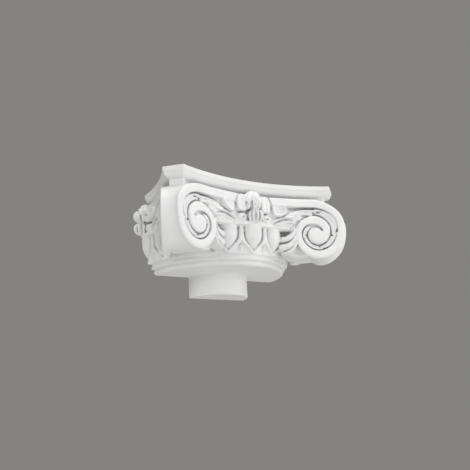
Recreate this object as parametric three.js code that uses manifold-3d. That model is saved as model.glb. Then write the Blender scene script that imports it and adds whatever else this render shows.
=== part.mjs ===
import * as THREE from 'three';
import { mergeVertices } from 'three/addons/utils/BufferGeometryUtils.js';
import Module from 'manifold-3d';

const wasm = await Module();
wasm.setup();

// Millimetres. X runs along the wall, Y into the wall, Z up, with Z = 0 at the seat on the shaft.
const abacusHalf = 175;
const abacusCornerLeg = 26;
const abacusSag = 32;
const abacusTop = 150;
const abacusFillet = 8.5;
const abacusFoot = 112;
const roundFoot = 131.5;
const roundStep = 2;
const roundDepth = 13;
const recessDepth = 26;
const blockWidth = 25;
const blockTop = 132.5;

const faceMid = 146;
const faceRadius = 345;
const faceTop = 123;
const bandFoot = 108;
const channelDepth = 7;
const coreFoot = 72;
const coreCornerSum = 240;

const eyeX = 118;
const eyeZ = 57.5;
const eyeRise = 2.5;
const turnSteps = 20;
const coilSteps = 25;
const leadSteps = 5;
const leadStart = -12;
const ribbonRound = 1;
const huskSink = 1.8;
const huskPhase = 0.95;
const joinStep = 16;
const scrollHollow = 0.1;
const scrollShares = [0.15, 0.5, 0.85];

const ringRadius = 122;
const filletRadius = 132.5;
const bedRadius = 135;
const bedTop = 72;
const spigotRadius = 58;
const spigotDrop = 39;
const bolsterStations = [[68, 27, -36], [79, 18.4, -16], [92, 15, -8.5], [118, 15, -6]];

const eggPitch = THREE.MathUtils.degToRad(19.6);
const eggRing = 133;
const eggMidZ = 60;
const eggHalfWidth = 17.5;
const eggHalfHeight = 35;
const eggRise = 17;
const shellHalfWidth = 22;
const shellDrop = 48.5;
const shellLip = 3.5;
const dartTop = 44;
const dartDrop = 20;

const hoodTop = 133;
const flowerDepth = 168;
const budZ = 104.5;
const tasselZ = 83;
const petalSink = -9;
const leafCrest = 1;
const borderZ = 69.5;
const borderHalf = 3.5;
const borderSink = -12;
const borderLift = -4;
const borderSwell = 150.6;
const borderEnd = 80;
const lobeSink = -25;
const lobeCrest = -0.5;
const lobeFall = 4.5;

const up = new THREE.Vector3(0, 0, 1);

// Sizes of the coil at each eighth of a turn from its top, run smoothly between
function eighths(values) {
  const turns = values.map((value, i) => i);
  const run = new THREE.CubicInterpolant(turns, values, 1, new Float32Array(1));
  return (turn) => run.evaluate(Math.min(turn * 8, values.length - 1))[0];
}

// Outer edge of the ribbon, and outer edge of the channel inside it, from the eye
const coilEdge = eighths([
  faceTop - eyeZ, 59, 47.4, 45.5, 44.5, 40.5, 37, 35.5, 34.5, 29.5,
  23, 20, 18.5, 16.2, 14.6, 13.6, 13.2, 12.8, 12.4,
]);
const channelEdge = eighths([bandFoot - eyeZ, 46, 35.8, 32, 29.8, 27.3, 26.4, 23.8, 19, 15.5, 14]);

function solid(shape) {
  shape.deleteAttribute('normal');
  shape.deleteAttribute('uv');
  const merged = mergeVertices(shape, 1e-4);
  const position = merged.getAttribute('position');
  const corners = [0, 1, 2].map(() => new THREE.Vector3());
  const index = Array.from(merged.index.array);
  let volume = 0;
  for (let i = 0; i < index.length; i += 3) {
    corners.forEach((corner, k) => corner.fromBufferAttribute(position, index[i + k]));
    volume += corners[0].dot(corners[1].clone().cross(corners[2]));
  }
  if (volume < 0) {
    index.reverse();
  }
  return new wasm.Manifold(new wasm.Mesh({
    numProp: 3,
    vertProperties: new Float32Array(position.array),
    triVerts: new Uint32Array(index),
  }));
}

// Closed skin over rings of equal length, with a fan over each end
function skin(rings) {
  const count = rings[0].length;
  const points = rings.flat();
  const index = [];
  for (let r = 0; r + 1 < rings.length; r += 1) {
    for (let i = 0; i < count; i += 1) {
      const a = r * count + i;
      const b = r * count + (i + 1) % count;
      index.push(a, b, b + count, a, b + count, a + count);
    }
  }
  [0, rings.length - 1].forEach((r) => {
    const middle = new THREE.Vector3();
    rings[r].forEach((point) => middle.addScaledVector(point, 1 / count));
    points.push(middle);
    for (let i = 0; i < count; i += 1) {
      const pair = [r * count + i, r * count + (i + 1) % count];
      index.push(points.length - 1, pair[r ? 0 : 1], pair[r ? 1 : 0]);
    }
  });
  const shape = new THREE.BufferGeometry().setFromPoints(points);
  shape.setIndex(index);
  return shape;
}

// A square plan with four hollow sides and cut corners
function hollowSquare(middle, radius, cornerSum, inset, z, steps) {
  const reach = radius + inset;
  const centre = middle + radius;
  const corner = (cornerSum - inset * Math.SQRT2 - centre) / reach;
  const half = Math.PI / 4 + Math.asin(corner / Math.SQRT2);
  const ring = [];
  for (let side = 0; side < 4; side += 1) {
    for (let i = 0; i <= steps; i += 1) {
      const a = half * (2 * i / steps - 1);
      const point = new THREE.Vector3(reach * Math.sin(a), reach * Math.cos(a) - centre, z);
      ring.push(point.applyAxisAngle(up, side * Math.PI / 2));
    }
  }
  return ring;
}

function onFace(x, z, lift) {
  const a = Math.asin(x / faceRadius);
  const reach = faceRadius - lift;
  return new THREE.Vector3(reach * Math.sin(a), reach * Math.cos(a) - faceMid - faceRadius, z);
}

function onRing(angle, z, radius) {
  return new THREE.Vector3(radius * Math.sin(angle), -radius * Math.cos(angle), z);
}

function acrossCorner(point) {
  return new THREE.Vector3(-point.y, -point.x, point.z);
}

// Runs a section along a line drawn on a surface. The line and the section both take 0 to 1.
function strip(line, section, steps, surface) {
  const rings = [];
  for (let i = 0; i <= steps; i += 1) {
    const t = i / steps;
    const point = line(t);
    const ahead = line(Math.min(1, t + 0.01));
    const behind = line(Math.max(0, t - 0.01));
    const along = new THREE.Vector2(ahead[0] - behind[0], ahead[1] - behind[1]).normalize();
    rings.push(section(t).map(([across, lift]) => (
      surface(point[0] - along.y * across, point[1] + along.x * across, lift)
    )));
  }
  return skin(rings);
}

function ball(x, depth, z, wide, deep, tall) {
  const shape = new THREE.SphereGeometry(1, 8, 6);
  shape.rotateX(Math.PI / 2);
  shape.scale(wide, deep, tall);
  shape.translate(x, -depth, z);
  return shape;
}

// Fillet over a quarter round, then a deep recess over the band
function abacus() {
  const side = abacusHalf - abacusCornerLeg;
  const radius = (side * side + abacusSag * abacusSag) / (2 * abacusSag);
  const lipFoot = abacusTop - abacusFillet;
  const profile = [[recessDepth, abacusFoot], [recessDepth, roundFoot]];
  for (let i = 0; i <= 3; i += 1) {
    const a = i * Math.PI / 6;
    profile.push([
      roundStep + (roundDepth - roundStep) * (1 - Math.sin(a)),
      lipFoot - (lipFoot - roundFoot) * Math.cos(a),
    ]);
  }
  profile.push([0, lipFoot], [0, abacusTop]);
  return skin(profile.map(([inset, z]) => (
    hollowSquare(abacusHalf - abacusSag, radius, side + abacusHalf, inset, z, 8)
  )));
}

// Fills the recess under a cut corner of the abacus, square to the cut
function block() {
  const reach = (2 * abacusHalf - abacusCornerLeg) * Math.SQRT1_2 - roundDepth;
  const shape = new THREE.BoxGeometry(2 * blockWidth, blockWidth, blockTop - abacusFoot);
  shape.translate(reach - blockWidth, 0, (blockTop + abacusFoot) / 2);
  shape.rotateZ(-Math.PI / 4);
  return shape;
}

function core() {
  return skin([coreFoot, faceTop].map((z) => (
    hollowSquare(faceMid, faceRadius, coreCornerSum, channelDepth + 2, z, 6)
  )));
}

// Spigot, seat, ring mouldings, neck cove and the plain bed behind the eggs
function turned() {
  const profile = [
    [0, -spigotDrop],
    [spigotRadius, -spigotDrop],
    [spigotRadius, 0],
    [ringRadius, 0],
    [ringRadius + 4, 2],
    [ringRadius + 5.5, 5],
    [ringRadius + 4.5, 8.5],
    [filletRadius - 1, 10],
    [filletRadius, 12.5],
    [filletRadius - 1, 15],
    [filletRadius - 2.5, 19],
    [filletRadius - 2, 25],
    [bedRadius, 31],
    [bedRadius, bedTop],
    [0, bedTop + 7],
  ];
  const shape = new THREE.LatheGeometry(profile.map(([r, z]) => new THREE.Vector2(r, z)), 40);
  shape.rotateX(Math.PI / 2);
  return shape;
}

function coilPoint(radius, turn) {
  const a = turn * 2 * Math.PI;
  return [eyeX + radius * Math.sin(a), eyeZ + radius * Math.cos(a)];
}

// Husks lie nose to tail along the channel, each dropping at its tip
function huskLift(turn) {
  const beat = (4 * turn + huskPhase) % 1;
  return -huskSink - (channelDepth - huskSink) * Math.pow(beat, 6);
}

// Half of a front face and the half side face that mirrors it across the corner: plain band, leaf,
// coiled ribbon with its channel of husks, eye, and the hollow band of the scroll between the two
function quarter() {
  const points = [];
  const add = (x, z, lift) => points.push(onFace(x, z, lift)) - 1;
  const edge = [];
  for (let k = 0; k <= coilSteps + turnSteps; k += 1) {
    const turn = k / turnSteps;
    edge.push(add(...coilPoint(coilEdge(turn), turn), -ribbonRound));
  }
  const rows = [];
  const leadRow = (x, foot, last) => rows.push([
    add(x, faceTop, -ribbonRound),
    add(x, bandFoot + ribbonRound, 0),
    add(x, bandFoot, -channelDepth),
    add(x, (bandFoot + foot) / 2, -huskSink),
    add(x, foot + ribbonRound, -channelDepth),
    last,
  ]);
  const [joinX, joinZ] = coilPoint(coilEdge(joinStep / turnSteps), joinStep / turnSteps);
  for (let k = 0; k < leadSteps; k += 1) {
    const x = leadStart + (joinX - leadStart) * k / leadSteps;
    leadRow(x, joinZ, add(x, joinZ, -channelDepth - ribbonRound));
  }
  for (let k = joinStep; k < turnSteps; k += 1) {
    const [x, z] = coilPoint(coilEdge(k / turnSteps), k / turnSteps);
    leadRow(x, z, edge[k]);
  }
  const leadRows = rows.length;
  for (let k = 0; k <= coilSteps; k += 1) {
    const turn = k / turnSteps;
    const outer = channelEdge(turn);
    const inner = coilEdge(turn + 1) + 0.3;
    rows.push([
      edge[k],
      add(...coilPoint(outer + ribbonRound, turn), 0),
      add(...coilPoint(outer, turn), -channelDepth),
      add(...coilPoint((outer + inner) / 2, turn), huskLift(turn)),
      add(...coilPoint(inner, turn), -channelDepth),
      edge[k + turnSteps],
    ]);
  }
  const faces = [];
  for (let k = 0; k + 1 < rows.length; k += 1) {
    for (let j = 0; j < 5; j += 1) {
      faces.push([rows[k][j], rows[k + 1][j], rows[k + 1][j + 1]]);
      faces.push([rows[k][j], rows[k + 1][j + 1], rows[k][j + 1]]);
    }
  }
  const hub = add(eyeX, eyeZ, eyeRise);
  const last = rows[rows.length - 1];
  const eyeLoop = [...edge.slice(coilSteps), ...last.slice(1, -1).reverse()];
  eyeLoop.forEach((point, i) => faces.push([point, eyeLoop[(i + 1) % eyeLoop.length], hub]));

  const rim = [
    ...rows.slice(0, leadRows).map((row) => row[0]),
    ...edge.slice(0, joinStep + 1),
    ...rows.slice(0, leadSteps).map((row) => row[5]).reverse(),
    ...rows[0].slice(1, -1).reverse(),
  ];
  const count = points.length;
  points.push(...points.map(acrossCorner));
  const index = [];
  faces.forEach(([a, b, c]) => index.push(a, b, c, count + a, count + c, count + b));

  const middle = onFace(eyeX, eyeZ, 0);
  const hollowAt = (i, share) => (
    i > leadRows && i < leadRows + joinStep ? 4 * scrollHollow * share * (1 - share) : 0
  );
  const loops = [rim];
  scrollShares.forEach((share) => {
    const axis = middle.clone().lerp(acrossCorner(middle), share);
    loops.push(rim.map((at, i) => {
      const point = points[at].clone().lerp(points[count + at], share);
      return points.push(point.lerp(axis, hollowAt(i, share))) - 1;
    }));
  });
  loops.push(rim.map((at) => count + at));
  for (let r = 0; r + 1 < loops.length; r += 1) {
    rim.forEach((unused, i) => {
      const j = (i + 1) % rim.length;
      const [p, q, pNext, qNext] = [loops[r][i], loops[r][j], loops[r + 1][i], loops[r + 1][j]];
      index.push(q, p, pNext, q, pNext, qNext);
    });
  }
  const shape = new THREE.BufferGeometry().setFromPoints(points);
  shape.setIndex(index);
  return shape;
}

// Plain body under the scroll, from the neck out to the underside of the volutes
function bolster() {
  return skin(bolsterStations.map(([x, foot, lift]) => {
    const edge = [onFace(x, foot, lift), onFace(x, coreFoot, lift)];
    return [...edge, ...edge.map(acrossCorner).reverse()];
  }));
}

// Lobe of the leaf that spreads from the inner rim of the volute and hangs over the next egg
function lobe([rootX, rootZ], [tipX, tipZ], thick) {
  const line = (t) => [rootX + (tipX - rootX) * t, rootZ + (tipZ - rootZ) * Math.pow(t, 0.65)];
  const section = (t) => {
    const half = thick * (0.5 + 0.5 * Math.sin(Math.PI * (0.1 + 0.75 * t)));
    const crest = lobeCrest - lobeFall * t;
    return [[-half, lobeSink], [-half * 0.6, crest], [half * 0.6, crest], [half, lobeSink]];
  };
  return strip(line, section, 3, onFace);
}

// Plain border over the eggs, swelling over the middle one
function border() {
  const line = (t) => [borderEnd * t, borderZ];
  const section = (t) => {
    const x = borderEnd * t;
    const face = faceMid + faceRadius - Math.sqrt(faceRadius * faceRadius - x * x);
    const lift = Math.max(borderLift, Math.sqrt(borderSwell * borderSwell - x * x) - face);
    return [[-borderHalf, borderSink], [-borderHalf, lift], [borderHalf, lift], [borderHalf, borderSink]];
  };
  return strip(line, section, 4, onFace);
}

function egg(angle) {
  const shape = new THREE.SphereGeometry(1, 12, 7);
  shape.rotateX(Math.PI / 2);
  const position = shape.getAttribute('position');
  for (let i = 0; i < position.count; i += 1) {
    const z = position.getZ(i);
    const narrow = z < 0 ? 1 + 0.2 * z : 1;
    position.setX(i, position.getX(i) * narrow);
  }
  shape.scale(eggHalfWidth, eggRise, eggHalfHeight);
  shape.translate(0, -eggRing, eggMidZ);
  shape.rotateZ(angle);
  return shape;
}

// Raised shell that runs round an egg down to a point
function shell(angle) {
  const line = (t) => {
    const s = 2 * t - 1;
    const reach = Math.sign(s) * Math.pow(Math.abs(s), 0.8);
    return [shellHalfWidth * reach, bedTop - shellDrop * Math.pow(1 - Math.abs(reach), 0.3)];
  };
  const section = () => [
    [-shellLip, eggRing - 6],
    [-shellLip * 0.4, eggRing + 9],
    [shellLip * 0.4, eggRing + 9],
    [shellLip, eggRing - 6],
  ];
  return strip(line, section, 10, (along, z, radius) => onRing(angle + along / eggRing, z, radius));
}

function dart(angle) {
  const line = (t) => [0, dartTop - dartDrop * t];
  const section = (t) => {
    const half = 1.5 + 4 * t;
    return [[-half, eggRing - 6], [0, eggRing + 6 - 2 * t], [half, eggRing - 6]];
  };
  return strip(line, section, 3, (along, z, radius) => onRing(angle + along / eggRing, z, radius));
}

// A petal lies on the face from its root to its tip, with a rounded back
function petal(root, tip, width, lift) {
  const line = (t) => [root[0] + (tip[0] - root[0]) * t, root[1] + (tip[1] - root[1]) * t];
  const section = (t) => {
    const swell = Math.sin(Math.PI * (0.22 + 0.52 * t));
    const half = width * swell / 2;
    const crown = lift * (0.25 + 0.75 * t);
    const brow = (crown + petalSink) / 2;
    const back = [[-0.92, brow], [-0.5, crown], [0.5, crown], [0.92, brow]];
    return [[-half, petalSink], ...back.map(([share, z]) => [share * half, z]), [half, petalSink]];
  };
  return strip(line, section, 3, onFace);
}

// Leaf that lies along the foot of the carved band, from the flower towards the volute
function calyxLeaf() {
  const line = (t) => [30 + 52 * t, 74 + 14 * Math.sin(Math.PI * t / 2)];
  const section = (t) => {
    const half = 2.5 + 4 * Math.sin(Math.PI * Math.min(1, 0.15 + t));
    return [[-half, petalSink], [-half * 0.5, leafCrest], [half * 0.5, leafCrest], [half, petalSink]];
  };
  return strip(line, section, 3, onFace);
}

// Flower over the middle of a face: hood, bud, fluted tassel, two pairs of petals and two small curls
function flower() {
  const reach = flowerDepth - faceMid;
  const parts = [
    ball(0, faceMid - 2, hoodTop - 15, 17, reach - 9, 15),
    ball(0, faceMid, budZ, 9, reach - 2, 16),
  ];
  [-8, 0, 8].forEach((x) => {
    parts.push(ball(x, faceMid, tasselZ, 5.4, reach - Math.abs(x) / 4, 13.5));
  });
  [-1, 1].forEach((hand) => {
    parts.push(petal([hand * 20, 124], [hand * 24, 91], 22, 6));
    parts.push(petal([hand * 47, 112], [hand * 51, 87], 27, 4));
    parts.push(ball(hand * 24.5, faceMid, 80, 9.5, 7.5, 8.8));
  });
  return parts;
}

// Leaf lobes, eggs and darts of half a face, from its middle out to the corner
function corner() {
  return [
    bolster(),
    lobe([83, 69], [59, 49], 7),
    lobe([83, 55], [60, 36.5], 5.8),
    lobe([83, 43], [61, 27], 5.2),
    calyxLeaf(),
    border(),
    egg(eggPitch),
    shell(eggPitch),
    dart(eggPitch / 2),
  ];
}

function middle() {
  return [...flower(), egg(0), shell(0)];
}

const overX = new THREE.Matrix4().makeScale(-1, 1, 1);
const overCorner = new THREE.Matrix4().set(0, -1, 0, 0, -1, 0, 0, 0, 0, 0, 1, 0, 0, 0, 0, 1);
const mirrored = (shapes, over) => shapes.map((shape) => shape.clone().applyMatrix4(over));
const carving = corner();
const front = middle();
const right = [quarter(), block(), ...carving, ...mirrored([...carving, ...front], overCorner)];
const all = [turned(), core(), abacus(), ...front, ...right, ...mirrored(right, overX)];
const whole = wasm.Manifold.union(all.map(solid));

// The flat back is cut through the column's axis, and gaps shut inside the casting are solid
const room = 3 * abacusHalf;
const behind = new THREE.BoxGeometry(room, room, room);
behind.translate(0, room / 2, 0);
const shells = whole.subtract(solid(behind)).decompose();
const body = shells.reduce((best, part) => (part.volume() > best.volume() ? part : best));

const mesh = body.getMesh();
const shape = new THREE.BufferGeometry();
shape.setAttribute('position', new THREE.BufferAttribute(mesh.vertProperties, 3));
shape.setIndex(new THREE.BufferAttribute(mesh.triVerts, 1));
shape.computeVertexNormals();

const primer = new THREE.MeshStandardMaterial({ color: 0xeceae6, roughness: 0.6, name: 'white_primer' });
const piece = new THREE.Mesh(shape, primer);
piece.name = 'half_capital';

const group = new THREE.Group();
group.name = 'ionic_half_capital';
group.add(piece);

export default group;
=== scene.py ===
import math
import bpy
import bmesh
import numpy as np
from mathutils import Matrix, Vector


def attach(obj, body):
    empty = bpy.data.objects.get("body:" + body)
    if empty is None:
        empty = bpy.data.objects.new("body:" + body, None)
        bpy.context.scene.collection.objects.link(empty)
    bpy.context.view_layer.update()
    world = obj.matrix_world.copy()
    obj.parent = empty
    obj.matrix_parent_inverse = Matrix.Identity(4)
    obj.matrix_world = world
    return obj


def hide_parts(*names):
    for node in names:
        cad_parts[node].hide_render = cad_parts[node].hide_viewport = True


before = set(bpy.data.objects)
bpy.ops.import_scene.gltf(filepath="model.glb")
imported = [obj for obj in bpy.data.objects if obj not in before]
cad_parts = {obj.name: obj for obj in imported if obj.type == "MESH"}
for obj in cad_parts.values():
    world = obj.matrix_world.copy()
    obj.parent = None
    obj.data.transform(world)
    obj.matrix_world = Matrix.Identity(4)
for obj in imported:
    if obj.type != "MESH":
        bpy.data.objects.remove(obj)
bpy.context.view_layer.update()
print("frame loaded")

# all carving is drawn in millimetres, X along the wall, Y into the wall, Z up
face = dict(mid=146.0, radius=345.0, top=123.5, depth=8.0)


def faceSpot(x, z, lift):  # a place on the hollow face, lift counts outward
    a = np.arcsin(np.asarray(x, float) / face["radius"])
    reach = face["radius"] - np.asarray(lift, float)
    y = reach * np.cos(a) - face["mid"] - face["radius"]
    return np.stack(np.broadcast_arrays(reach * np.sin(a), y, np.asarray(z, float)), -1)


def ringSpot(along, z, radius):  # along is measured round the egg ring
    a = np.asarray(along, float) / eggs["ring"]
    return np.stack(np.broadcast_arrays(radius * np.sin(a), -radius * np.cos(a), np.asarray(z, float)), -1)


def acrossCorner(v):
    return np.stack([-v[..., 1], -v[..., 0], v[..., 2]], -1)


def overMiddle(v):
    return v * np.array([-1.0, 1.0, 1.0])


def faceOut(v, t):  # turns a closed shell so that it faces out
    a, b, c = v[t[:, 0]], v[t[:, 1]], v[t[:, 2]]
    volume = np.einsum("ij,ij->i", a, np.cross(b, c)).sum()
    return (v, t[:, ::-1]) if volume < 0 else (v, t)


def skin(rings):  # closed shell over rings of equal length
    rings = np.asarray(rings, float)
    m, n, _ = rings.shape
    v = np.concatenate([rings.reshape(-1, 3), rings[:1].mean(1), rings[-1:].mean(1)])
    r, i = np.meshgrid(np.arange(m - 1), np.arange(n), indexing="ij")
    a = (r * n + i).ravel()
    b = (r * n + (i + 1) % n).ravel()
    sides = np.concatenate([np.stack([a, b, b + n], 1), np.stack([a, b + n, a + n], 1)])
    j = np.arange(n)
    k = (j + 1) % n
    low = np.stack([np.full(n, m * n), k, j], 1)
    high = np.stack([np.full(n, m * n + 1), (m - 1) * n + j, (m - 1) * n + k], 1)
    return faceOut(v, np.concatenate([sides, low, high]))


def panel(front, back, keep=None):  # closed slab between two grids of points, of the cells that are kept
    m, n, _ = front.shape
    ids = np.arange(m * n).reshape(m, n)
    cells = np.ones((m - 1, n - 1), bool) if keep is None else keep[:-1, :-1]
    a, b, c, d = ids[:-1, :-1][cells], ids[1:, :-1][cells], ids[1:, 1:][cells], ids[:-1, 1:][cells]
    top = np.concatenate([np.stack([a, b, c], 1), np.stack([a, c, d], 1)])
    sides = np.concatenate([np.stack(pair, 1) for pair in ((a, b), (b, c), (c, d), (d, a))])
    code = sides[:, 0] * m * n + sides[:, 1]
    rim = sides[~np.isin(code, sides[:, 1] * m * n + sides[:, 0])]
    p, q = rim[:, 0], rim[:, 1]
    wall = np.concatenate([np.stack([q, p, p + m * n], 1), np.stack([q, p + m * n, q + m * n], 1)])
    v = np.concatenate([front.reshape(-1, 3), back.reshape(-1, 3)])
    used, t = np.unique(np.concatenate([top, top[:, ::-1] + m * n, wall]), return_inverse=True)
    return faceOut(v[used], t.reshape(-1, 3))


def between(a, b, c, d, f):  # smooth run from b to c
    bend = (2 * a - 5 * b + 4 * c - d) * f ** 2
    twist = (3 * b - a - 3 * c + d) * f ** 3
    return 0.5 * (2 * b + (c - a) * f + bend + twist)


def smoothLine(points):  # a smooth run through a few points
    p = np.asarray(points, float)
    p = np.vstack([2 * p[0] - p[1], p, 2 * p[-1] - p[-2]])
    count = len(points) - 1

    def at(t):
        s = min(t, 0.999999) * count
        i = int(s)
        return between(p[i], p[i + 1], p[i + 2], p[i + 3], s - i)
    return at


def eighths(values):  # sizes at each eighth of a turn, run smoothly between
    p = np.concatenate([[2 * values[0] - values[1]], values, [2 * values[-1] - values[-2]]])
    last = len(values) - 1

    def at(turn):
        s = np.clip(np.asarray(turn, float) * 8, 0, last - 1e-6)
        i = s.astype(int)
        return between(p[i], p[i + 1], p[i + 2], p[i + 3], s - i)
    return at


def ramp(value, start, run):  # 0 before start, 1 after the run
    return np.clip((value - start) / run, 0, 1)


def bump(distance, width):  # soft ridge across a line
    return np.exp(-(distance / width) ** 2)


def roundTop(u, crest, low, power=2.4):  # rounded section from crest down to low at u = 1
    u = np.clip(u, 0, 1)
    return low + (crest - low) * (1 - u ** power) ** (1 / power)


def roundEdge(u):  # 0 at the edge, 1 inside, on a quarter circle
    u = np.clip(u, 0, 1)
    return np.sqrt(u * (2 - u))


def nearLine(points, x, z, count=70):  # distance to a drawn line, and how far along it
    line = smoothLine(points)
    p = np.array([line(t) for t in np.linspace(0, 1, count)])
    best = np.full(x.shape, 1e9)
    along = np.zeros(x.shape)
    for i, (q, r) in enumerate(zip(p[:-1], p[1:])):
        d = r - q
        s = np.clip(((x - q[0]) * d[0] + (z - q[1]) * d[1]) / (d @ d), 0, 1)
        g = np.hypot(x - q[0] - s * d[0], z - q[1] - s * d[1])
        along = np.where(g < best, (i + s) / (count - 1), along)
        best = np.minimum(g, best)
    return best, along


def insideShape(points, x, z, count=160):  # distance inside a closed smooth outline, below zero outside
    line = smoothLine(list(points) + [points[0]])
    p = np.array([line(t) for t in np.linspace(0, 1, count)])
    best = np.full(x.shape, 1e9)
    inside = np.zeros(x.shape, bool)
    for q, r in zip(p[:-1], p[1:]):
        d = r - q
        s = np.clip(((x - q[0]) * d[0] + (z - q[1]) * d[1]) / (d @ d + 1e-12), 0, 1)
        best = np.minimum(np.hypot(x - q[0] - s * d[0], z - q[1] - s * d[1]), best)
        crossing = (q[1] > z) != (r[1] > z)
        slope = d[0] / (d[1] if abs(d[1]) > 1e-9 else 1e-9)
        inside ^= crossing & (x < q[0] + (z - q[1]) * slope)
    return np.where(inside, best, -best)


def ball(x, depth, p, around=120, levels=40, sharp=5):  # round body, fluted where the piece says so
    a = np.linspace(0, 2 * np.pi, around, endpoint=False)
    f = np.ones(around)
    if "flutes" in p:
        f = 1 - p["cut"] * np.abs(np.cos(a * p["flutes"] / 2 + p["phase"])) ** sharp
    rings = []
    for e in np.linspace(-0.5, 0.5, levels + 1)[1:-1] * np.pi:
        c = np.cos(e) ** p.get("blunt", 1.0)
        z = p["z"] + (p["tall"] if e > 0 else p.get("drop", p["tall"])) * np.sin(e)
        wide, deep = p["wide"] * c * f, p["deep"] * c * f
        rings.append(np.stack([x + wide * np.sin(a), -depth - deep * np.cos(a), np.full(around, z)], 1))
    return skin(rings)


# abacus: a square slab with hollow sides and cut corners, fillet over a quarter round
abacus = dict(
    half=175.0, leg=26.0, sag=32.0, top=150.0, fillet=8.5, foot=112.0, roundFoot=131.5, roundSteps=15,
    step=1.8, deep=13.0, recess=26.0, lip=1.0, tuck=1.0, softFoot=0.4, softTop=0.6, sideSteps=60,
    blockHalf=12.5, blockDeep=50.0, blockBack=0.5, blockLap=1.0)


def hollowSquare(mid, radius, cornerSum, inset, z, steps):
    reach = radius + inset
    centre = mid + radius
    half = math.pi / 4 + math.asin((cornerSum - inset * math.sqrt(2) - centre) / reach / math.sqrt(2))
    a = np.linspace(-half, half, steps + 1)
    side = np.stack([reach * np.sin(a), reach * np.cos(a) - centre], 1)
    ring = []
    for _ in range(4):
        ring.append(side)
        side = np.stack([-side[:, 1], side[:, 0]], 1)
    ring = np.concatenate(ring)
    return np.column_stack([ring, np.full(len(ring), z)])


def makeAbacus(p=abacus):
    side = p["half"] - p["leg"]
    radius = (side ** 2 + p["sag"] ** 2) / (2 * p["sag"])
    lipFoot = p["top"] - p["fillet"]
    roundHead = lipFoot - p["lip"]
    line = [(p["recess"], p["foot"]), (p["recess"], p["roundFoot"])]
    line += [(p["deep"] + p["tuck"], p["roundFoot"])]
    for a in np.linspace(0, math.pi / 2, p["roundSteps"]):
        inset = p["step"] + (p["deep"] - p["step"]) * (1 - math.sin(a))
        line.append((inset, roundHead - (roundHead - p["roundFoot"]) * math.cos(a)))
    line += [(p["step"], lipFoot), (p["softFoot"], lipFoot), (0, lipFoot + p["softFoot"])]
    line += [(0, p["top"] - p["softTop"]), (p["softTop"], p["top"])]
    mid, cornerSum = p["half"] - p["sag"], side + p["half"]
    return skin([hollowSquare(mid, radius, cornerSum, i, z, p["sideSteps"]) for i, z in line])


def makeCornerBlock(p=abacus):  # fills the recess under the cut corner, square to it
    out = (2 * p["half"] - p["leg"]) / math.sqrt(2) - p["deep"] - p["blockBack"]
    back, half = out - p["blockDeep"], p["blockHalf"]
    plan = [(out, -half), (out, half), (back, half), (back, -half)]
    c = math.sqrt(0.5)
    levels = (p["foot"], p["roundFoot"] + p["blockLap"])
    return skin([[(c * (d + w), c * (w - d), z) for d, w in plan] for z in levels])


# plain heart of the casting behind the faces
core = dict(corner=240.0, inset=12.0, foot=72.0, steps=40)


def makeCore(p=core):
    mid, radius = face["mid"], face["radius"]
    inset = face["depth"] + p["inset"]
    levels = (p["foot"], face["top"])
    return skin([hollowSquare(mid, radius, p["corner"], inset, z, p["steps"]) for z in levels])


# spigot, seat, ring mouldings, neck cove and the bed behind the eggs
turned = dict(
    axis=0.01, seat=122.0, spigot=58.0, drop=39.0, spigotEdge=1.0, spigotRoot=0.6,
    band=127.5, bandRound=5.0, bandMid=4.6, bandHalf=4.4, bandArc=(-75, 70, 12), nick=2.6, nickTop=9.2,
    fillet=132.5, filletRound=2.4, filletMid=12.2, filletHalf=2.6, filletArc=(-80, 80, 9),
    cove=130.0, coveBack=1.6, coveOut=1.1, coveFoot=15.2, coveTall=15.8, coveSteps=12,
    bed=135.0, bedFoot=33.0, bedTop=72.0, dome=7.0, around=260)


def makeTurned(p=turned):
    spigot, drop = p["spigot"], p["drop"]
    line = [(p["axis"], -drop), (spigot - p["spigotEdge"], -drop), (spigot, p["spigotEdge"] - drop)]
    line += [(spigot, -p["spigotRoot"]), (spigot + p["spigotRoot"], 0), (p["seat"], 0)]
    for a in np.radians(np.linspace(*p["bandArc"])):
        r = p["band"] - p["bandRound"] + p["bandRound"] * math.cos(a)
        line.append((r, p["bandMid"] + p["bandHalf"] * math.sin(a)))
    line += [(p["band"] - p["nick"], p["nickTop"])]
    for a in np.radians(np.linspace(*p["filletArc"])):
        r = p["fillet"] - p["filletRound"] + p["filletRound"] * math.cos(a)
        line.append((r, p["filletMid"] + p["filletHalf"] * math.sin(a)))
    coveRim = p["fillet"] - p["coveBack"]
    for a in np.linspace(0, 1, p["coveSteps"]):
        r = coveRim - (coveRim - p["cove"]) * math.sin(math.pi * a) + p["coveOut"] * a
        line.append((r, p["coveFoot"] + p["coveTall"] * a))
    line += [(p["bed"], p["bedFoot"]), (p["bed"], p["bedTop"]), (p["axis"], p["bedTop"] + p["dome"])]
    a = np.linspace(0, 2 * np.pi, p["around"], endpoint=False)
    return skin([np.stack([r * np.sin(a), -r * np.cos(a), np.full(a.size, z)], 1) for r, z in line])


# volute: a flat ribbon coiled round an eye, sunk channel inside it, scroll running back to the next face
volute = dict(
    eyeX=118.0, eyeZ=57.5, eyeRise=2.6, eyeShares=(0.9, 0.72, 0.5, 0.25), turnSteps=160, join=0.8, end=1.17,
    bandFoot=108.5, bandSoft=0.5, edgeFall=2.4, edgeRound=4.5, lipFall=0.9, lipRound=1.2, slotTurn=0.1,
    across=(0, 0.04, 0.09, 0.16, 0.24, 0.34, 0.46, 0.6, 0.75, 0.86, 0.94, 1.0),
    sunk=[0.03, 0.08, *np.linspace(0.16, 0.84, 8), 0.92, 0.97],
    scroll=[0.02, 0.05, *np.linspace(0.1, 0.9, 17), 0.95, 0.98],
    leadFrom=-12.0, leadSteps=91, sinkFrom=44.0, sinkRun=3.0, sinkDeep=4.0,
    hollow=0.1, hollowFrom=0.04, hollowRun=0.12, hollowEnd=0.52, hollowFade=0.14)
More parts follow.
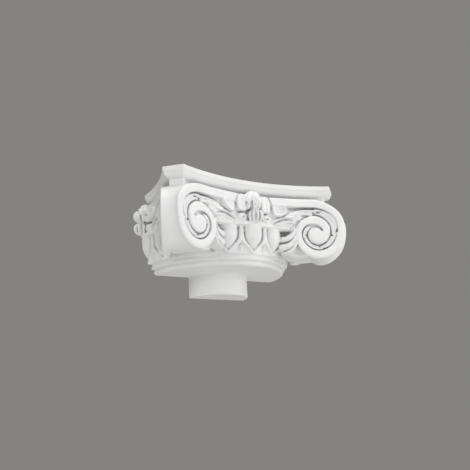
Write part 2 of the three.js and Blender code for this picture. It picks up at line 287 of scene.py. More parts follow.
coilEdge = eighths([
    66, 59, 47.4, 45.5, 44.5, 40.5, 37, 35.5, 34.5, 29.5,
    23, 20, 18.5, 16.2, 14.6, 13.4, 12.4, 11.6, 11.2, 11])
channelEdge = eighths([51, 46, 35.8, 32, 29.8, 27.3, 26.4, 23.8, 19, 15.6, 13.2])

# deep slot along the foot of the band, over the leaf
slot = dict(start=68.0, startRun=8.0, end=124.0, endRun=5.0, foot=105.2, head=109.0, deep=5.0)


def slotDip(x, z, p=slot):
    run = ramp(x, p["start"], p["startRun"]) * ramp(-x, -p["end"], p["endRun"])
    return p["deep"] * run * ((z > p["foot"]) & (z < p["head"]))


def coilSpot(radius, turn, p=volute):
    a = turn * 2 * math.pi
    return p["eyeX"] + radius * math.sin(a), p["eyeZ"] + radius * math.cos(a)


def polar(x, z, p=volute):  # reach from the eye, and the turn from straight up
    dx, dz = x - p["eyeX"], z - p["eyeZ"]
    return np.hypot(dx, dz), (np.arctan2(dx, dz) / (2 * np.pi)) % 1.0


def ribbonLift(u, width, soft, p=volute):  # outer edge of the ribbon well rounded, inner edge crisp
    outer = max(0.0, 1 - u * width / p["edgeRound"])
    inner = max(0.0, 1 - (1 - u) * width / p["lipRound"])
    return -p["edgeFall"] * soft * outer ** 2 - p["lipFall"] * inner ** 2


def makeQuarter(p=volute):
    turnSteps, soft = p["turnSteps"], p["bandSoft"]
    join = int(round(p["join"] * turnSteps))
    end = int(round(p["end"] * turnSteps))
    spots, edge, rows = [], [], []

    def add(x, z, lift):
        spots.append((x, z, lift))
        return len(spots) - 1

    def onEdge(k):
        return coilSpot(float(coilEdge(k / turnSteps)), k / turnSteps)

    for k in range(end + turnSteps + 1):
        edge.append(add(*onEdge(k), -p["edgeFall"] * (1.0 if k < turnSteps else soft)))
    top, bandFoot, floor = face["top"], p["bandFoot"], -face["depth"]

    def leadRow(x, foot, last):  # the straight band over the leaf, and the ground under it
        sink = p["sinkDeep"] * float(ramp(-x, -p["sinkFrom"], p["sinkRun"]))
        row = []
        for u in p["across"]:
            lift = ribbonLift(u, top - bandFoot, soft) - sink
            row.append(add(x, top + (bandFoot - top) * u, lift))
        for v in p["sunk"]:
            z = bandFoot + (foot - bandFoot) * v
            row.append(add(x, z, floor - float(slotDip(x, z))))
        rows.append(row + [last])

    joinX, joinZ = onEdge(p["join"] * turnSteps)
    leadX = np.linspace(p["leadFrom"], joinX, p["leadSteps"])[:-1]
    for x in leadX:
        leadRow(x, joinZ, add(x, joinZ, floor))
    for k in range(join, turnSteps):
        leadRow(*onEdge(k), edge[k])
    leadRows = len(rows)
    for k in range(end + 1):
        turn = k / turnSteps
        outer, inner, nextCoil = float(coilEdge(turn)), float(channelEdge(turn)), float(coilEdge(turn + 1))
        row = [edge[k]]
        for u in p["across"][1:]:
            lift = ribbonLift(u, outer - inner, 1 if turn < 1 else soft)
            row.append(add(*coilSpot(outer + (inner - outer) * u, turn), lift))
        for v in p["sunk"]:
            x, z = coilSpot(inner + (nextCoil - inner) * v, turn)
            row.append(add(x, z, floor - float(slotDip(x, z)) * (turn < p["slotTurn"])))
        rows.append(row + [edge[k + turnSteps]])
    rows = np.array(rows)
    a, b, c, d = rows[:-1, :-1].ravel(), rows[1:, :-1].ravel(), rows[1:, 1:].ravel(), rows[:-1, 1:].ravel()
    tris = [np.stack([a, b, c], 1), np.stack([a, c, d], 1)]
    # domed eye
    loop = np.array(edge[end:] + list(rows[-1][1:-1][::-1]))
    eye = np.array([p["eyeX"], p["eyeZ"]])
    rimOfEye = np.array(spots)[loop, :2]
    last = loop
    for share in p["eyeShares"]:
        rise = p["eyeRise"] * math.sqrt(1 - share ** 2)
        ring = np.array([add(x, z, rise) for x, z in eye + (rimOfEye - eye) * share])
        lastNext, ringNext = np.roll(last, -1), np.roll(ring, -1)
        tris += [np.stack([last, lastNext, ringNext], 1), np.stack([last, ringNext, ring], 1)]
        last = ring
    hub = add(p["eyeX"], p["eyeZ"], p["eyeRise"])
    tris.append(np.stack([last, np.roll(last, -1), np.full(len(last), hub)], 1))
    s = np.array(spots)
    front = faceSpot(s[:, 0], s[:, 1], s[:, 2])
    count = len(front)
    tris = np.concatenate(tris)
    tris = [tris, tris[:, ::-1] + count]
    points = [front, acrossCorner(front)]
    # scroll between the two faces, hollow across
    rim = list(rows[:leadRows, 0]) + edge[:join + 1]
    rim = np.array(rim + list(rows[:len(leadX), -1][::-1]) + list(rows[0][1:-1][::-1]))
    axis0 = faceSpot(p["eyeX"], p["eyeZ"], 0.0)
    axis1 = acrossCorner(axis0)
    onCoil = np.zeros(len(rim))
    turn = np.arange(join + 1) / turnSteps
    fadeIn = ramp(turn, p["hollowFrom"], p["hollowRun"])
    onCoil[leadRows:leadRows + join + 1] = fadeIn * ramp(-turn, -p["hollowEnd"], p["hollowFade"])
    near, far = front[rim], acrossCorner(front[rim])
    total = 2 * count
    loops = [rim]
    for share in p["scroll"]:
        flat = near + (far - near) * share
        dip = 4 * p["hollow"] * share * (1 - share)
        axis = axis0 + (axis1 - axis0) * share
        points.append(flat + (axis - flat) * (dip * onCoil)[:, None])
        loops.append(np.arange(total, total + len(rim)))
        total += len(rim)
    loops.append(rim + count)
    for one, two in zip(loops[:-1], loops[1:]):
        oneNext, twoNext = np.roll(one, -1), np.roll(two, -1)
        tris += [np.stack([oneNext, one, two], 1), np.stack([oneNext, two, twoNext], 1)]
    return faceOut(np.concatenate(points), np.concatenate(tris))


# plain body under the scroll, from the neck out to the underside of the volutes, as along, foot and lift
bolster = dict(
    stations=[
        (68, 27, -36), (73, 23, -26), (79, 20.5, -24), (86, 19.4, -22),
        (94, 19, -19), (104, 19, -13), (118, 18, -6.5)],
    head=72.0, soft=2.5)


def makeBolster(p=bolster):
    rings = []
    for x, foot, lift in p["stations"]:
        inner = faceSpot(x, foot, lift - p["soft"])
        outer = faceSpot(x, foot + p["soft"], lift)
        edge = np.stack([inner, outer, faceSpot(x, p["head"], lift)])
        rings.append(np.concatenate([edge, acrossCorner(edge)[::-1]]))
    return skin(rings)


# husks lying in the channel of the volute, each from one turn to another
husk = dict(
    runs=[(-0.01, 0.255), (0.185, 0.465), (0.405, 0.735), (0.685, 0.915)], room=1.5, least=0.5,
    tipFrom=0.68, tipRun=0.32, rootWide=0.3, rootGrow=2.4, thin=0.03, rootLean=0.7, leanRun=0.3,
    tipLean=0.45, crest=-0.2, tipFall=0.8, power=3.0, vein=3.8, veinWide=0.19, veinEnd=5.0, veinStart=8.0,
    apartFrom=0.5, apartTo=1.05, apartGap=0.3)
outerGap = eighths([2.6, 0.9, 1.3, 1.8, 1.9, 1.9, 1.9, 2.0, 1.6])
innerGap = eighths([3.0, 2.0, 1.7, 1.9, 2.1, 1.9, 1.7, 1.5, 1.2])


def huskLift(x, z, low, p=husk):
    reach, base = polar(x, z)
    lift = np.full(x.shape, low)
    for i, (start, end) in reversed(list(enumerate(p["runs"]))):
        for turn in (base, base + 1):
            outer, inner = channelEdge(turn), coilEdge(turn + 1)
            room = outer - inner > p["room"]
            outer, inner = outer - outerGap(turn), inner + innerGap(turn)
            s = (turn - start) / (end - start)
            v = (2 * reach - outer - inner) / np.maximum(outer - inner, p["least"])
            tip = np.sqrt(np.clip(1 - ramp(s, p["tipFrom"], p["tipRun"]) ** 2, 0, 1))
            root = np.ones_like(s) if i == 0 else np.clip(p["rootWide"] + p["rootGrow"] * s, 0, 1)
            wide = np.maximum(root * tip, p["thin"])
            lean = (i > 0) * p["rootLean"] * np.clip(1 - s / p["leanRun"], 0, 1) - p["tipLean"] * (1 - tip)
            off = np.abs(v - lean)
            u = off / wide
            h = roundTop(u, p["crest"] - p["tipFall"] * (1 - tip), low, p["power"])
            fade = np.clip((1 - s) * p["veinEnd"], 0, 1) * np.clip(s * p["veinStart"] + (i == 0), 0, 1)
            h = h - p["vein"] * bump(off, p["veinWide"]) * fade
            apart = (s > p["apartFrom"]) & (s < p["apartTo"]) & (off < wide + p["apartGap"])
            lift = np.where(room & apart, low, lift)  # dark line round the tip
            on = room & (s >= 0) & (s <= 1) & (u < 1)
            lift = np.where(on, np.maximum(lift, h), lift)
    return lift


# leaf strands beside the volute, with the smooth heart they grow from and the grooves between
strands = dict(rows=[
    dict(line=[(67, 92), (74, 95.2), (84, 98.8), (94, 100.8), (102, 101.4), (110, 101.4), (120, 101.2)],
         half=2.7, crest=-0.3),
    dict(line=[(60, 88), (66, 90), (74, 92.6), (84, 95), (94, 96.4), (104, 96.2), (111, 95.8)],
         half=3.6, crest=-0.1),
    dict(line=[(31, 73.5), (42, 79), (52, 84), (60, 86.8), (70, 87.5), (78, 88.5)], half=2.9, crest=2.0),
    dict(line=[(38, 71.5), (50, 75.5), (60, 79.2), (70, 80.2), (80, 78.5)], half=3.4, crest=0.0),
    dict(line=[(46, 70.5), (58, 72.8), (70, 74), (78, 72)], half=2.5, crest=-1.6),
], rootWide=0.35, rootGrow=5.0, rootRun=0.13, rootFall=2.5, fallRun=6.0)
heart = dict(line=[(60, 82), (68, 84), (78, 86), (87, 90)], half=8.5, crest=-2.4, power=3.0)
grooves = [
    dict(line=[(83, 96.6), (92, 98.3), (102, 98.6), (108, 97.9), (112, 95.6)], half=0.9, deep=2.6),
    dict(line=[(119, 98.4), (124, 98.6), (128.5, 100.4)], half=1.25, deep=5.5),
    dict(line=[(72, 68), (78, 73.5), (83.5, 79), (90, 83.5)], half=1.3, deep=4.0),
    dict(line=[(58, 111), (63, 109.6), (67, 106)], half=1.2, deep=5.0),
    dict(line=[(40, 76), (50, 80.4), (58, 83.2), (68, 83.6), (76, 82.5)], half=0.9, deep=3.5),
]


def strandLift(x, z, lift, low, p=strands):
    for row in p["rows"]:
        d, along = nearLine(row["line"], x, z)
        wide = row["half"] * np.clip(p["rootWide"] + p["rootGrow"] * np.minimum(along, p["rootRun"]), 0, 1)
        crest = row["crest"] - p["rootFall"] * np.clip(1 - along * p["fallRun"], 0, 1)
        lift = np.where(d < wide, np.maximum(lift, roundTop(d / wide, crest, low)), lift)
    d, _ = nearLine(heart["line"], x, z)
    swell = roundTop(d / heart["half"], heart["crest"], low, heart["power"])
    return np.maximum(lift, np.where(d < heart["half"], swell, low))


# border over the eggs, swelling over the middle one
border = dict(
    foot=66.0, flat=70.5, head=82.0, lap=5.0, end=82.0, lift=-4.0, over=150.6, ground=-5.5, round=1.6)


def borderLift(x, z, lift, low, p=border):
    hollow = face["mid"] + face["radius"] - np.sqrt(face["radius"] ** 2 - x ** 2)
    rail = np.maximum(p["lift"], np.sqrt(np.maximum(p["over"] ** 2 - x ** 2, 0)) - hollow)
    fade = ramp(z, p["flat"], p["head"] - p["flat"])
    rail = p["ground"] + (rail - p["ground"]) * (1 - fade * fade * (3 - 2 * fade))
    rail = low + (rail - low) * roundEdge((z - p["foot"]) / p["round"])
    on = (z > p["foot"]) & (z < p["head"] + p["lap"]) & (x < p["end"])
    return np.where(on, np.maximum(lift, rail), lift)


# petals beside the flower, each set off by a dark line, and the curl under them
innerPetal = dict(
    line=[
        (15.5, 125), (27, 125), (30.5, 119.5), (33.8, 112), (34.2, 103), (33, 95.5),
        (29.6, 91.8), (22, 91), (17.2, 92), (15.8, 97), (15.2, 108)],
    top=125.0, foot=91.0, level=0.2, rise=3.4, power=1.4, round=1.9, low=-6.0,
    mid=24.5, sideFall=1.2, sideRun=10.0, vein=1.8, veinWide=1.2)
outerPetal = dict(
    line=[
        (39.5, 111), (52, 111.5), (60, 110.6), (65.4, 107), (66.4, 101), (63.6, 94),
        (57.5, 88.8), (50, 86.2), (45, 87.2), (41, 91.5), (38.8, 98), (38.6, 105)],
    rim=[(57, 110), (61.6, 106.4), (62.8, 100.5), (60, 93.8), (54.5, 89.2), (48, 87.6)],
    flutes=[[(45, 110), (45.6, 100), (47.5, 90.5)], [(52, 110), (53.4, 100), (53, 92)]],
    top=111.0, foot=86.0, level=-1.6, rise=3.2, round=1.7, low=-6.5, rimRise=6.6, rimWide=2.3,
    fluteDeep=1.5, fluteWide=1.2, gap=1.6, gapHead=109.0, gapLift=-5.0)
canalis = dict(line=[(37.6, 109), (36.8, 113), (34, 120), (31.5, 127), (62, 127), (62, 109)], lift=0.0)
curl = dict(
    x=24.5, z=80.3, wide=10.2, tall=9.2, rise=6.5, power=2.2,
    ring=0.56, ringWide=0.1, ringDeep=2.0, ringFoot=4.0, pit=7.0, pitWide=0.24)


def petalEdge(d, h, low, p):
    return np.where(d > 0, p["low"] + (h - p["low"]) * roundEdge(d / p["round"]), low)


def innerPetalLift(x, z, low, p=innerPetal):
    t = ramp(-z, -p["top"], p["top"] - p["foot"])
    off = x - p["mid"]
    h = p["level"] + p["rise"] * t ** p["power"] - p["sideFall"] * t * (off / p["sideRun"]) ** 2
    h = h - p["vein"] * bump(off, p["veinWide"]) * t
    return petalEdge(insideShape(p["line"], x, z), h, low, p)


def outerPetalLift(x, z, low, p=outerPetal):
    h = p["level"] + p["rise"] * ramp(-z, -p["top"], p["top"] - p["foot"])
    h = h + p["rimRise"] * bump(nearLine(p["rim"], x, z)[0], p["rimWide"])
    for flute in p["flutes"]:
        h = h - p["fluteDeep"] * bump(nearLine(flute, x, z)[0], p["fluteWide"])
    d = insideShape(p["line"], x, z)
    return petalEdge(d, h, low, p), d


def petalsLift(x, z, lift, low):
    outer, inside = outerPetalLift(x, z, low)
    apart = (inside > -outerPetal["gap"]) & (z < outerPetal["gapHead"])
    lift = np.where(apart, np.minimum(lift, outerPetal["gapLift"]), lift)
    lift = np.maximum(lift, np.where(insideShape(canalis["line"], x, z) > 0, canalis["lift"], low))
    return np.maximum(lift, np.maximum(innerPetalLift(x, z, low), outer))


def curlLift(x, z, lift, low, p=curl):  # a knob with a ring and a pit in its middle
    r = np.hypot((x - p["x"]) / p["wide"], (z - p["z"]) / p["tall"])
    ring = p["ringDeep"] * bump(r - p["ring"], p["ringWide"]) * (z > p["z"] - p["ringFoot"])
    knob = roundTop(r, p["rise"], low, p["power"]) - ring - p["pit"] * bump(r, p["pitWide"])
    return np.where(r < 1, np.maximum(lift, knob), lift)


# carved relief on each half face, drawn on one fine grid
relief = dict(
    left=-3.0, right=160.0, foot=26.0, head=123.0, step=0.6, buried=-10.0, back=-24.0, bare=0.5,
    bandFrom=68.0, bandLap=1.0, ribbonLap=1.5, coilTurn=0.7, coilLap=0.6, innerLap=0.2, coilFrom=60.0,
    openTo=84.0, openLap=1.0, tiny=1e-6)


def reliefGrid(p=relief):  # the grid is drawn in so that it ends just under the ribbon
    xs = np.arange(p["left"], p["right"], p["step"])
    zs = np.arange(p["foot"], p["head"], p["step"])
    x, z = np.meshgrid(xs, zs, indexing="ij")
    z = np.where(x > p["bandFrom"], np.minimum(z, volute["bandFoot"] + p["bandLap"]), z)
    reach, turn = polar(x, z)
    eyeX, eyeZ = volute["eyeX"], volute["eyeZ"]
    share = np.minimum(1, (channelEdge(turn) + p["ribbonLap"]) / (reach + p["tiny"]))
    share = np.where((x > eyeX) | (z < eyeZ), share, 1.0)
    return eyeX + (x - eyeX) * share, eyeZ + (z - eyeZ) * share


def makeRelief(p=relief):
    x, z = reliefGrid()
    low = p["buried"]
    husks = huskLift(x, z, low)
    lift = strandLift(x, z, husks, low)
    lift = borderLift(x, z, lift, low)
    for row in grooves:
        d, _ = nearLine(row["line"], x, z)
        lift = lift - row["deep"] * bump(d, row["half"]) * (lift > low + p["bare"])
    lift = petalsLift(x, z, lift, low)
    lift = curlLift(x, z, lift, low)
    # nothing stands on the coil of the ribbon or under the border
    reach, turn = polar(x, z)
    inCoil = (reach < coilEdge(turn + 1) + p["innerLap"]) | (z < volute["eyeZ"])
    onCoil = np.where(turn > p["coilTurn"], reach < coilEdge(turn) + p["coilLap"], inCoil)
    lift = np.where(onCoil & (x > p["coilFrom"]), husks, lift)
    lift = np.where((x < border["end"]) & (z < border["foot"]), low, lift)
    lift = np.where(lift < low + p["bare"], lift - slotDip(x, z), lift)
    free = (x < p["openTo"]) & (z < border["foot"] - p["openLap"])  # the eggs stand free under the border
    return panel(faceSpot(x, z, lift), faceSpot(x, z, np.full(x.shape, p["back"])), ~free)


# lobes of the leaf that spreads from the volute's inner rim and hangs over the next egg
lobes = dict(rows=[
    dict(line=[(86, 69), (80.5, 63), (77, 56.6), (72, 52.2), (66, 49.6), (60.5, 49.2)],
         half=[2.0, 3.0, 4.2, 4.8, 5.0, 5.0]),
    dict(line=[(86, 60), (81, 53), (77.5, 45.5), (73, 39.6), (67, 35.8), (61, 34.8)],
         half=[2.0, 3.6, 5.4, 6.2, 6.6, 6.4]),
    dict(line=[(86, 46), (81, 40.5), (77.5, 34.6), (73, 29.8), (68, 26.6), (63.5, 25.4)],
         half=[2.0, 3.0, 3.8, 3.8, 3.3, 2.8]),
], cuts=[
    [(82, 64), (79, 57), (76, 50.4), (72, 46.4), (66, 43), (60, 42.1), (54, 42.6)],
    [(83, 49), (79, 41), (76, 35.8), (72.5, 32.4), (68.5, 29.6), (62.5, 27.4), (57, 26.8)],
], left=52.0, right=90.0, foot=16.0, head=78.0, step=0.6, back=-25.0, lap=1.0,
    root=-0.5, rootX=86.0, fall=5.0, fallRun=30.0, fallMost=1.2, tipFrom=0.8, tipFall=15.0,
    groove=8.0, power=2.3, vein=1.0, veinAt=0.45, veinWide=0.8, veinRun=1.3,
    cutDeep=2.0, cutGrow=6.5, cutWide=0.65, cutSpread=0.6)


def makeLobes(p=lobes):
    xs, zs = np.arange(p["left"], p["right"], p["step"]), np.arange(p["foot"], p["head"], p["step"])
    x, z = np.meshgrid(xs, zs, indexing="ij")
    level = p["root"] - p["fall"] * np.clip((p["rootX"] - x) / p["fallRun"], 0, p["fallMost"])
    lift = level - p["groove"]
    keep = np.zeros(x.shape, bool)
    for row in p["rows"]:
        d, along = nearLine(row["line"], x, z)
        half = np.interp(along, np.linspace(0, 1, len(row["half"])), row["half"])
        crest = level - p["tipFall"] * np.clip(along - p["tipFrom"], 0, 1)
        lobe = roundTop(d / half, crest, level - p["groove"], p["power"])
        lift = np.where(d < half, np.maximum(lift, lobe), lift)
        fade = np.clip(1 - along * p["veinRun"], 0, 1)
        vein = p["vein"] * bump(d - p["veinAt"] * half, p["veinWide"]) * fade
        lift = lift - np.where(d < half, vein, 0)
        keep |= d < half + p["lap"]
    for line in p["cuts"]:
        d, along = nearLine(line, x, z)
        lift = lift - (p["cutDeep"] + p["cutGrow"] * along) * bump(d, p["cutWide"] + p["cutSpread"] * along)
    return panel(faceSpot(x, z, lift), faceSpot(x, z, np.full(x.shape, p["back"])), keep)


# eggs, the shells round them and the darts between, as one relief round the neck
eggs = dict(
    pitch=math.radians(19.6), ring=140.0, step=0.62, foot=19.0, head=75.0, bed=134.5, back=120.0, tuck=1.0,
    least=0.1, eggPower=2.3, faceEnd=1.5)
eggHalf = [
    (19, 0), (25, 0.3), (27.5, 2.4), (33, 8.0), (40, 14.0), (44, 16.4), (50, 17.7), (60, 18.3), (75, 18.4)]
eggFront = [
    (19, 134), (24.5, 135), (30, 140), (34, 143.4), (42, 147.6), (48, 149.8), (60, 150.4), (75, 150)]
shell = dict(
    gap=1.15, foot=23.6, lineSteps=120, openFoot=24.0, broad=5.4, broadTop=9.4, broadFrom=28.0,
    broadRun=16.0, broadPower=1.3, rise=144.5, fall=4.5, fallFrom=46.0, fallRun=24.0, power=3.4,
    joinFoot=40.0, joinHead=46.0, joinDrop=0.8, deepFrom=1.25, deepFoot=47.0)
dart = dict(
    head=40.0, foot=22.0, tip=0.6, spread=0.24, least=0.1, most=6.0,
    rise=5.0, fall=2.5, fallRun=18.0, power=0.8)


def shellRadius(a, a0, z, half, width, radius, p=shell):
    bed = eggs["bed"]
    rimLine = [(p["gap"] + w, h) for h, w in eggHalf[:0:-1]] + [(0, p["foot"])]
    d, _ = nearLine(rimLine, a, z, p["lineSteps"])
    rise = p["rise"] - p["fall"] * ramp(-z, -p["fallFrom"], p["fallRun"])
    outside = (a > half + p["gap"]) | (z < p["openFoot"])
    widen = ramp(z, p["broadFrom"], p["broadRun"]) ** p["broadPower"]
    broad = p["broad"] + (p["broadTop"] - p["broad"]) * widen
    rim = roundTop(np.abs(2 * d / broad - 1), rise, bed - eggs["tuck"], p["power"])
    joined = (z > p["joinFoot"]) & (d > broad / 2)
    rim = np.where(joined, np.maximum(rim, np.where(z > p["joinHead"], rise - p["joinDrop"], bed)), rim)
    radius = np.where(outside & ((d < broad) | (z > p["joinHead"])), np.maximum(radius, rim), radius)
    behindLobes = outside & (a0 > p["deepFrom"] * width) & (z > p["deepFoot"])
    return np.where(behindLobes, bed, radius)


def dartRadius(off, z, radius, p=dart):  # in the recess under the joined shells
    half = np.clip(p["tip"] + (p["head"] - z) * p["spread"], p["least"], p["most"])
    rise = p["rise"] - p["fall"] * ramp(-z, -p["head"], p["fallRun"])
    ridge = eggs["bed"] + rise * np.clip(1 - off / half, 0, 1) ** p["power"]
    return np.where((z < p["head"]) & (z > p["foot"]), np.maximum(radius, ridge), radius)


def makeEggs(p=eggs):
    width = p["pitch"] * p["ring"]
    side = math.pi / 2 * p["ring"]
    along = np.arange(-side, side + p["step"], p["step"])
    s, z = np.meshgrid(along, np.arange(p["foot"], p["head"], p["step"]), indexing="ij")
    a0 = np.minimum(np.abs(s), side - np.abs(s))  # from the middle of the nearest face
    a = np.abs((a0 + width / 2) % width - width / 2)  # from the middle of the nearest egg
    half = np.interp(z, *np.array(eggHalf).T)
    front = np.interp(z, *np.array(eggFront).T)
    radius = np.full(s.shape, p["bed"])
    egg = roundTop(a / np.maximum(half, p["least"]), front, p["bed"] - p["tuck"], p["eggPower"])
    radius = np.where(a < half, np.maximum(radius, egg), radius)
    radius = shellRadius(a, a0, z, half, width, radius)
    radius = dartRadius(width / 2 - a, z, radius)
    radius = np.where(a0 > p["faceEnd"] * width, p["bed"], radius)  # three eggs a face, none at the corners
    return panel(ringSpot(s, z, radius), ringSpot(s, z, np.full(s.shape, p["back"])))


# flower over the middle of each face: hood with hanging lobes, fluted bud and fluted tassel
flower = dict(
    hood=dict(z=116.5, wide=17.0, deep=10.5, tall=14.5, drop=3.5, flutes=8, cut=0.22, phase=math.pi / 2),
    bud=dict(z=106.0, wide=10.4, deep=21.0, tall=13.5, flutes=14, cut=0.28, phase=math.pi / 2, blunt=0.8),
    tassel=dict(z=82.4, wide=14.6, deep=21.6, tall=12.2, flutes=12, cut=0.5, phase=0.0, blunt=0.62),
    lobe=dict(z=114.5, wide=3.8, deep=6.5, tall=6.0),
    hoodBack=2.0, lobeX=14.6, lobeOut=3.0)
tendril = dict(
    line=[(5, 120), (9.5, 113.5), (12.6, 105), (13.6, 95)], half=[2.2, 2.3, 2.1, 1.6],
    crown=[13, 12, 10, 7.5], base=[0, -2, -4, -5], points=23, steps=40, probe=0.004, tiny=1e-9,
    least=0.4, fall=0.5, power=3.2, foot=0.92)


def makeTendril(hand, p=tendril):  # thin strip hanging from the hood beside the bud
    line = smoothLine([(hand * x, z) for x, z in p["line"]])
    half, crown, base = (smoothLine([[w] for w in p[k]]) for k in ("half", "crown", "base"))
    v = np.linspace(-1, 1, p["points"])
    rings = []
    for t in np.linspace(0, 1, p["steps"] + 1):
        wide, high, low = max(p["least"], half(t)[0]), crown(t)[0], base(t)[0]
        lift = high - (high - low) * p["fall"] * np.abs(v) ** p["power"]
        foot = wide * p["foot"]
        across = np.concatenate([v * wide, [foot, -foot]])
        lift = np.concatenate([lift, [low, low]])
        x, z = line(t)
        dx, dz = line(min(1, t + p["probe"])) - line(max(0, t - p["probe"]))
        size = math.hypot(dx, dz) + p["tiny"]
        rings.append(faceSpot(x - dz / size * across, z + dx / size * across, lift))
    return skin(rings)


def makeFlower(p=flower):
    mid = face["mid"]
    out = [ball(0, mid - p["hoodBack"], p["hood"]), ball(0, mid, p["bud"]), ball(0, mid, p["tassel"])]
    for hand in (-1, 1):
        out.append(ball(hand * p["lobeX"], mid + p["lobeOut"], p["lobe"]))
        out.append(makeTendril(hand))
    return out


# the shells are fused as one casting and cut flat at the wall
casting = dict(metre=0.001, voxel=0.0009, triangles=194000, ease=0.25, easeRounds=1, sharp=50.0)


def makeCasting(p=casting):
    carving = [makeBolster(), makeRelief(), makeLobes()]
    middle = makeFlower()
    sideFace = [(acrossCorner(v), t[:, ::-1]) for v, t in carving + middle]
    half = [makeQuarter(), makeCornerBlock()] + carving + sideFace
    shells = [makeAbacus(), makeCore(), makeTurned(), makeEggs()] + middle + half
    shells += [(overMiddle(v), t[:, ::-1]) for v, t in half]
    points, tris, n = [], [], 0
    for v, t in shells:
        points.append(v)
        tris.append(t + n)
        n += len(v)
    return np.concatenate(points) * p["metre"], np.concatenate(tris)


def meshFrom(name, v, t):
    mesh = bpy.data.meshes.new(name)
    mesh.vertices.add(len(v))
    mesh.vertices.foreach_set("co", v.astype(np.float32).ravel())
    mesh.loops.add(t.size)
    mesh.loops.foreach_set("vertex_index", t.astype(np.int32).ravel())
    mesh.polygons.add(len(t))
    mesh.polygons.foreach_set("loop_start", np.arange(0, t.size, 3, dtype=np.int32))
    mesh.update(calc_edges=True)
    mesh.validate()
    return mesh


def applied(obj):  # turns the modifiers into plain mesh
    deps = bpy.context.evaluated_depsgraph_get()
    mesh = bpy.data.meshes.new_from_object(obj.evaluated_get(deps))
    obj.modifiers.clear()
    old = obj.data
    obj.data = mesh
    bpy.data.meshes.remove(old)


def cutAtWall(mesh):
    work = bmesh.new()
    work.from_mesh(mesh)
    everything = work.verts[:] + work.edges[:] + work.faces[:]
    bmesh.ops.bisect_plane(work, geom=everything, plane_co=(0, 0, 0), plane_no=(0, 1, 0), clear_outer=True)
    rim = [e for e in work.edges if e.is_boundary]
    bmesh.ops.holes_fill(work, edges=rim, sides=0)
    bmesh.ops.triangulate(work, faces=work.faces[:])
    work.to_mesh(mesh)
    work.free()


def makePiece(p=casting):
    v, t = makeCasting()
    print("shells drawn", len(t), "triangles")
    piece = bpy.data.objects.new("halfCapital", meshFrom("halfCapital", v, t))
    bpy.context.scene.collection.objects.link(piece)
    fuse = piece.modifiers.new("fuse", "REMESH")
    fuse.mode = "VOXEL"
    fuse.voxel_size = p["voxel"]
    fuse.adaptivity = 0.0
    ease = piece.modifiers.new("ease", "SMOOTH")
    ease.factor = p["ease"]
    ease.iterations = p["easeRounds"]
    applied(piece)
    print("fused", len(piece.data.polygons), "faces")
    cutAtWall(piece.data)
    count = len(piece.data.polygons)
    if count > p["triangles"]:
        thin = piece.modifiers.new("thin", "DECIMATE")
        thin.ratio = p["triangles"] / count
        thin.use_collapse_triangulate = True
        applied(piece)
    piece.data.shade_smooth()
    piece.data.set_sharp_from_angle(angle=math.radians(p["sharp"]))
    level = piece.modifiers.new("level", "WEIGHTED_NORMAL")  # keeps the top and back free of streaks
    level.keep_sharp = True
    applied(piece)
    print("cut and thinned to", len(piece.data.polygons), "triangles")
    return piece


# matt white primer over moulded foam, with painted shade darkening its grooves
primer = dict(
    # recess is a painted shade colour, mixed in where grooves and hollows are occluded, standing in for
    # shade
    white=(0.86, 0.86, 0.86), dull=(0.81, 0.81, 0.815), recess=(0.42, 0.42, 0.43), rough=0.62,
    cloudScale=14, cloudDetail=5, dullAt=0.35, whiteAt=0.6, reach=0.007, rays=12, paintedShadeAt=0.18,
    openAt=0.62, grainScale=420, grainDetail=3, grainStrength=0.08, grainDeep=0.0006)


def makePrimer(p=primer):
    mat = bpy.data.materials.new("whitePrimer")
    mat.use_nodes = True
    nodes, links = mat.node_tree.nodes, mat.node_tree.links
    shader = nodes["Principled BSDF"]
    coord = nodes.new("ShaderNodeTexCoord")
    cloud = nodes.new("ShaderNodeTexNoise")
    cloud.inputs["Scale"].default_value = p["cloudScale"]
    cloud.inputs["Detail"].default_value = p["cloudDetail"]
    links.new(coord.outputs["Object"], cloud.inputs["Vector"])
    tone = nodes.new("ShaderNodeValToRGB")
    tone.color_ramp.elements[0].position = p["dullAt"]
    tone.color_ramp.elements[0].color = (*p["dull"], 1)
    tone.color_ramp.elements[1].position = p["whiteAt"]
    tone.color_ramp.elements[1].color = (*p["white"], 1)
    links.new(cloud.outputs["Fac"], tone.inputs["Fac"])
    hollow = nodes.new("ShaderNodeAmbientOcclusion")  # painted shade: ambient occlusion darkens the base colour down in the grooves
    hollow.inputs["Distance"].default_value = p["reach"]
    hollow.only_local = True
    hollow.samples = p["rays"]
    depth = nodes.new("ShaderNodeValToRGB")
    depth.color_ramp.elements[0].position = p["paintedShadeAt"]
    depth.color_ramp.elements[1].position = p["openAt"]
    links.new(hollow.outputs["AO"], depth.inputs["Fac"])
    # mixes the painted shade colour into the primer's tone where the ambient occlusion finds a groove
    paintedShadeMix = nodes.new("ShaderNodeMix")
    paintedShadeMix.data_type = "RGBA"
    paintedShadeMix.inputs["A"].default_value = (*p["recess"], 1)
    links.new(depth.outputs["Color"], paintedShadeMix.inputs["Factor"])
    links.new(tone.outputs["Color"], paintedShadeMix.inputs["B"])
    links.new(paintedShadeMix.outputs["Result"], shader.inputs["Base Color"])
    grain = nodes.new("ShaderNodeTexNoise")
    grain.inputs["Scale"].default_value = p["grainScale"]
    grain.inputs["Detail"].default_value = p["grainDetail"]
    links.new(coord.outputs["Object"], grain.inputs["Vector"])
    skinBump = nodes.new("ShaderNodeBump")
    skinBump.inputs["Strength"].default_value = p["grainStrength"]
    skinBump.inputs["Distance"].default_value = p["grainDeep"]
    links.new(grain.outputs["Fac"], skinBump.inputs["Height"])
    links.new(skinBump.outputs["Normal"], shader.inputs["Normal"])
    shader.inputs["Roughness"].default_value = p["rough"]
    return mat


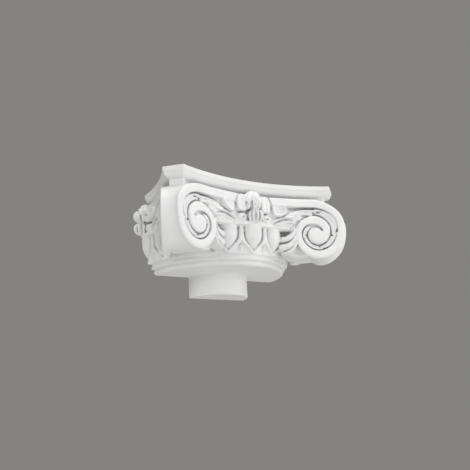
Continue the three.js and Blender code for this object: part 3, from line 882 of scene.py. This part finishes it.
capital = makePiece()
capital.data.materials.clear()
capital.data.materials.append(makePrimer())
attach(capital, "root")
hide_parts("half_capital")
print("capital placed")

# pale floor well below, as the part is held up at the wall
floorLook = dict(at=(0, -0.1, -0.62), radius=1.6, sides=96, pale=(0.82, 0.82, 0.81), rough=0.8)


def makeFloor(p=floorLook):
    work = bmesh.new()
    bmesh.ops.create_circle(work, cap_ends=True, segments=p["sides"], radius=p["radius"])
    mesh = bpy.data.meshes.new("floor")
    work.to_mesh(mesh)
    work.free()
    floor = bpy.data.objects.new("floor", mesh)
    floor.location = p["at"]
    bpy.context.scene.collection.objects.link(floor)
    mat = bpy.data.materials.new("paleFloor")
    mat.use_nodes = True
    shader = mat.node_tree.nodes["Principled BSDF"]
    shader.inputs["Base Color"].default_value = (*p["pale"], 1)
    shader.inputs["Roughness"].default_value = p["rough"]
    mesh.materials.append(mat)


makeFloor()
print("floor laid")

# soft light from above and both sides, with a little fill from the front and from the floor
lamps = dict(
    top=dict(at=(0.1, -0.7, 2.2), size=1.6, power=27),
    left=dict(at=(-2.0, -0.7, 0.8), size=1.6, power=13.5),
    right=dict(at=(1.7, -1.4, 0.5), size=1.5, power=17.5),
    front=dict(at=(-0.2, -2.0, 0.1), size=1.6, power=8.5),
    under=dict(at=(-0.1, -0.6, -0.6), size=1.3, power=1.4),
)
studio = dict(aim=(0, -0.08, 0.07), grey=(0.231, 0.227, 0.22), strength=1.0)


def makeLamps(p=lamps):
    for name, lamp in p.items():
        data = bpy.data.lights.new(name, "AREA")
        data.shape = "DISK"
        data.size = lamp["size"]
        data.energy = lamp["power"]
        obj = bpy.data.objects.new(name, data)
        obj.location = lamp["at"]
        obj.visible_camera = False
        aim = Vector(studio["aim"]) - obj.location
        obj.rotation_euler = aim.to_track_quat("-Z", "Y").to_euler()
        bpy.context.scene.collection.objects.link(obj)


def makeBackdrop(p=studio):
    world = bpy.data.worlds.new("studio")
    world.use_nodes = True
    world.node_tree.nodes["Background"].inputs["Color"].default_value = (*p["grey"], 1)
    world.node_tree.nodes["Background"].inputs["Strength"].default_value = p["strength"]
    bpy.context.scene.world = world
    bpy.context.scene.view_settings.view_transform = "Standard"


makeLamps()
makeBackdrop()
print("lit")

# camera below the part, looking up from the left
lens = dict(
    at=(-0.5948, -1.0678, -0.2331), turn=31.0, tilt=14.59, roll=-2.81, focal=50.0, sensor=36.0, near=0.01)


def makeCamera(p=lens):
    turn, tilt, roll = (math.radians(p[k]) for k in ("turn", "tilt", "roll"))
    ahead = Vector((math.sin(turn) * math.cos(tilt), math.cos(turn) * math.cos(tilt), math.sin(tilt)))
    right = Vector((math.cos(turn), -math.sin(turn), 0))
    over = right.cross(ahead)
    c, s = math.cos(roll), math.sin(roll)
    right, over = right * c + over * s, over * c - right * s
    data = bpy.data.cameras.new("camera")
    data.lens = p["focal"]
    data.sensor_width = p["sensor"]
    data.clip_start = p["near"]
    cam = bpy.data.objects.new("camera", data)
    cam.matrix_world = Matrix((
        (right.x, over.x, -ahead.x, p["at"][0]),
        (right.y, over.y, -ahead.y, p["at"][1]),
        (right.z, over.z, -ahead.z, p["at"][2]),
        (0, 0, 0, 1),
    ))
    bpy.context.scene.collection.objects.link(cam)
    bpy.context.scene.camera = cam


makeCamera()
